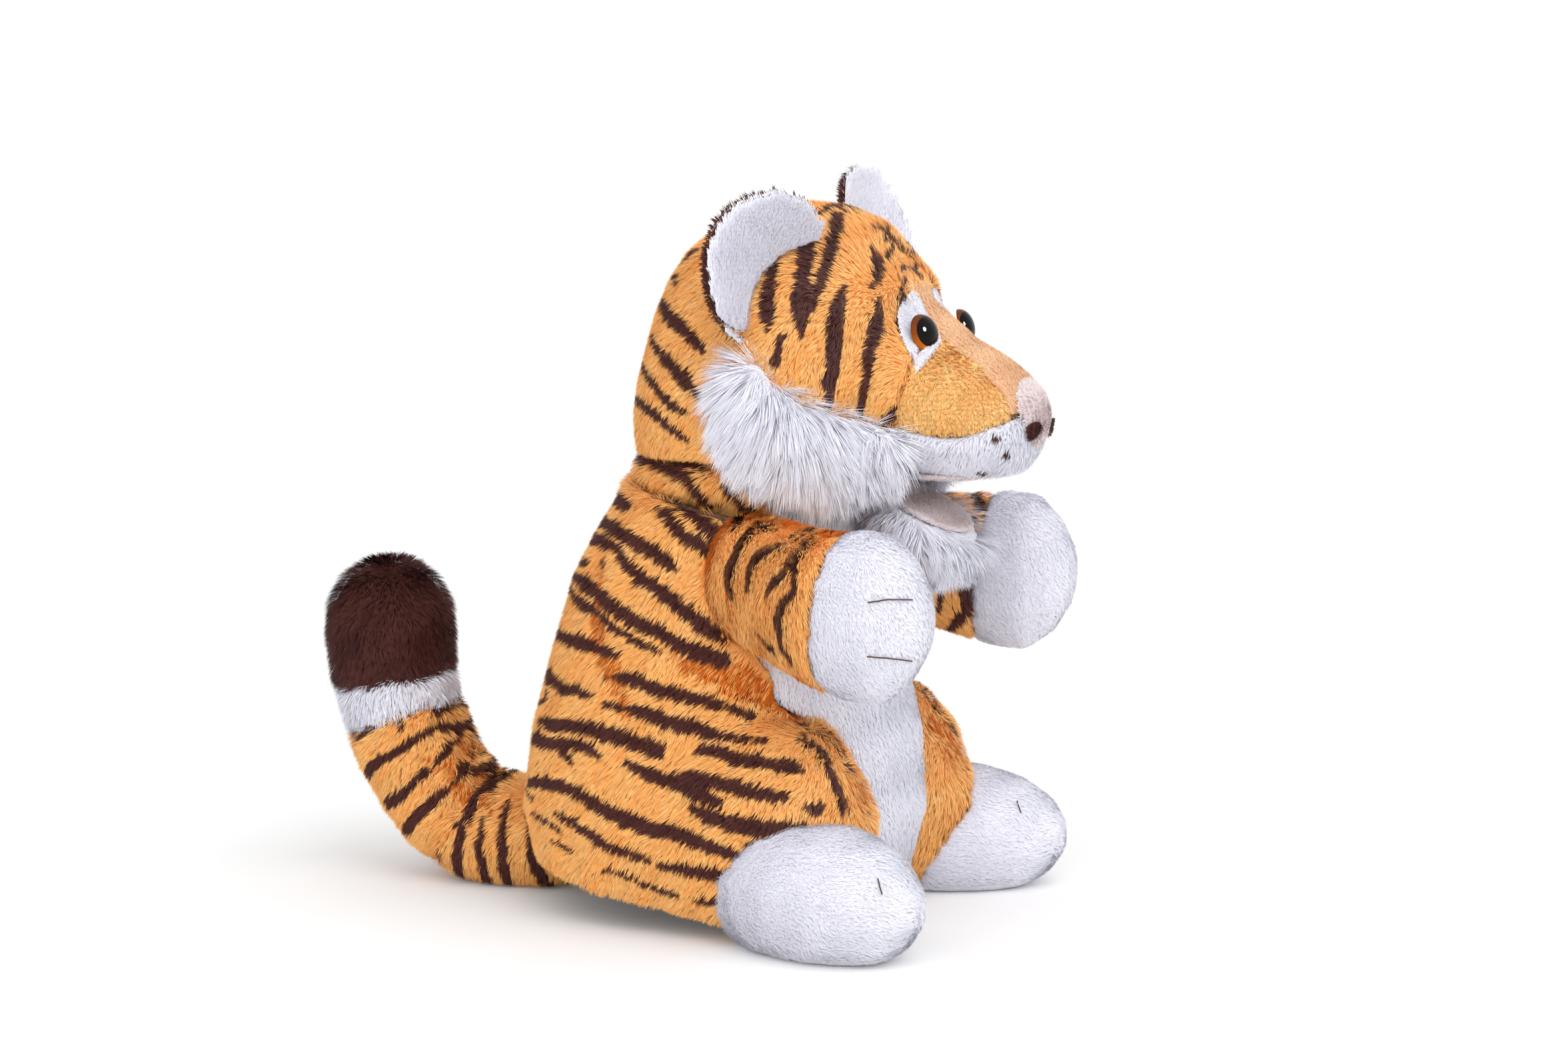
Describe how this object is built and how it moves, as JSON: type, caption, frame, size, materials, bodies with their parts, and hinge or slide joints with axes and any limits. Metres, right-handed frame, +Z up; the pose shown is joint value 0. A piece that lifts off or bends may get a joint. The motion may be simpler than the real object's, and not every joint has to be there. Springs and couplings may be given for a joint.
{
  "type": "hand puppet",
  "caption": "Plush tiger hand puppet that sits up on stuffed feet, with a hand opening under the body, an opening mouth, a turning head, spreading arms and a curled tail.",
  "frame": {"origin": "on the floor, below the middle of the puppet's bounding box", "axes": "+Z is up, the puppet faces -Y, its tail lies towards +Y, and +X is its left side"},
  "size_m": [0.1676, 0.2636, 0.2491],
  "materials": {
    "striped_plush": "short orange pile with dark brown stripes",
    "orange_plush": "very short orange pile",
    "white_plush": "white pile, long on the ruff and chin",
    "beige_plush": "shaved beige pile",
    "pink_plush": "shaved pale pink pile",
    "brown_plush": "dark brown pile",
    "white_felt": "matt felt",
    "lining_cloth": "plain woven lining",
    "filling": "loose polyester fibre",
    "eye_plastic": "polished amber with a black pupil",
    "washer_plastic": "moulded, plain"
  },
  "bodies": {
    "torso": {"belly_panel": "white_plush", "side_panel_left": "striped_plush", "side_panel_right": "striped_plush", "body_lining": "lining_cloth", "hem_binding": "lining_cloth"},
    "neck": {"neck_gusset": "striped_plush"},
    "head": {"head_panel_left": "striped_plush", "head_panel_right": "striped_plush", "nose_bridge": "beige_plush", "cheek_left": "orange_plush", "cheek_right": "orange_plush", "upper_lip": "white_plush", "nose": "pink_plush", "nostril_left": "brown_plush", "nostril_right": "brown_plush", "eye_left": "eye_plastic", "eye_right": "eye_plastic", "eye_washer_left": "washer_plastic", "eye_washer_right": "washer_plastic", "eye_patch_left": "white_felt", "eye_patch_right": "white_felt", "ruff_left": "white_plush", "ruff_right": "white_plush", "head_filling": "filling", "finger_pocket": "lining_cloth", "upper_palate": "pink_plush"},
    "jaw": {"chin": "white_plush", "thumb_pocket": "lining_cloth", "lower_palate": "pink_plush"},
    "ear_left": {"ear_front_left": "white_plush", "ear_back_left": "brown_plush"},
    "ear_right": {"ear_front_right": "white_plush", "ear_back_right": "brown_plush"},
    "arm_left": {"arm_sleeve_left": "striped_plush", "paw_left": "white_plush", "arm_filling_left": "filling"},
    "arm_right": {"arm_sleeve_right": "striped_plush", "paw_right": "white_plush", "arm_filling_right": "filling"},
    "foot_left": {"foot_left": "white_plush", "foot_filling_left": "filling"},
    "foot_right": {"foot_right": "white_plush", "foot_filling_right": "filling"},
    "tail_base": {"tail_root": "striped_plush", "tail_filling_root": "filling"},
    "tail_end": {"tail_end": "striped_plush", "tail_band": "white_plush", "tail_tip": "brown_plush", "tail_filling_end": "filling"}
  },
  "joints": [
    {"name": "neck_turn", "type": "hinge", "parent": "torso", "child": "neck", "pos_m": [0, -0.03542, 0.148], "axis": [0, 0, 1], "range_deg": [-15, 15]},
    {"name": "neck_nod", "type": "hinge", "parent": "neck", "child": "head", "pos_m": [0, -0.03542, 0.148], "axis": [1, 0, 0], "range_deg": [-8, 10]},
    {"name": "jaw_open", "type": "hinge", "parent": "head", "child": "jaw", "pos_m": [0, -0.07692, 0.1465], "axis": [1, 0, 0], "range_deg": [-28, 8], "stiffness_Nm_per_rad": 0.05},
    {"name": "arm_spread_left", "type": "hinge", "parent": "torso", "child": "arm_left", "pos_m": [0.044, -0.04692, 0.116], "axis": [0, 0, 1], "range_deg": [-8, 45], "stiffness_Nm_per_rad": 0.05},
    {"name": "arm_spread_right", "type": "hinge", "parent": "torso", "child": "arm_right", "pos_m": [-0.044, -0.04692, 0.116], "axis": [0, 0, -1], "range_deg": [-8, 45], "stiffness_Nm_per_rad": 0.05},
    {"name": "ear_flick_left", "type": "hinge", "parent": "head", "child": "ear_left", "pos_m": [0.03928, -0.04975, 0.21708], "axis": [0.6452, -0.2196, -0.7318], "range_deg": [-8, 8], "stiffness_Nm_per_rad": 0.03},
    {"name": "ear_flick_right", "type": "hinge", "parent": "head", "child": "ear_right", "pos_m": [-0.03928, -0.04975, 0.21708], "axis": [0.5764, -0.3489, 0.739], "range_deg": [-8, 8], "stiffness_Nm_per_rad": 0.03},
    {"name": "foot_hang_left", "type": "hinge", "parent": "torso", "child": "foot_left", "pos_m": [0.057, -0.03492, 0.002], "axis": [1, 0, 0], "range_deg": [0, 30]},
    {"name": "foot_hang_right", "type": "hinge", "parent": "torso", "child": "foot_right", "pos_m": [-0.057, -0.03492, 0.002], "axis": [1, 0, 0], "range_deg": [0, 30]},
    {"name": "tail_wag", "type": "hinge", "parent": "torso", "child": "tail_base", "pos_m": [0, 0.05108, 0.0178], "axis": [0, 0, 1], "range_deg": [-20, 20], "stiffness_Nm_per_rad": 0.1},
    {"name": "tail_curl", "type": "hinge", "parent": "tail_base", "child": "tail_end", "pos_m": [0, 0.08808, 0.0265], "axis": [1, 0, 0], "range_deg": [-12, 12], "stiffness_Nm_per_rad": 0.3}
  ]
}
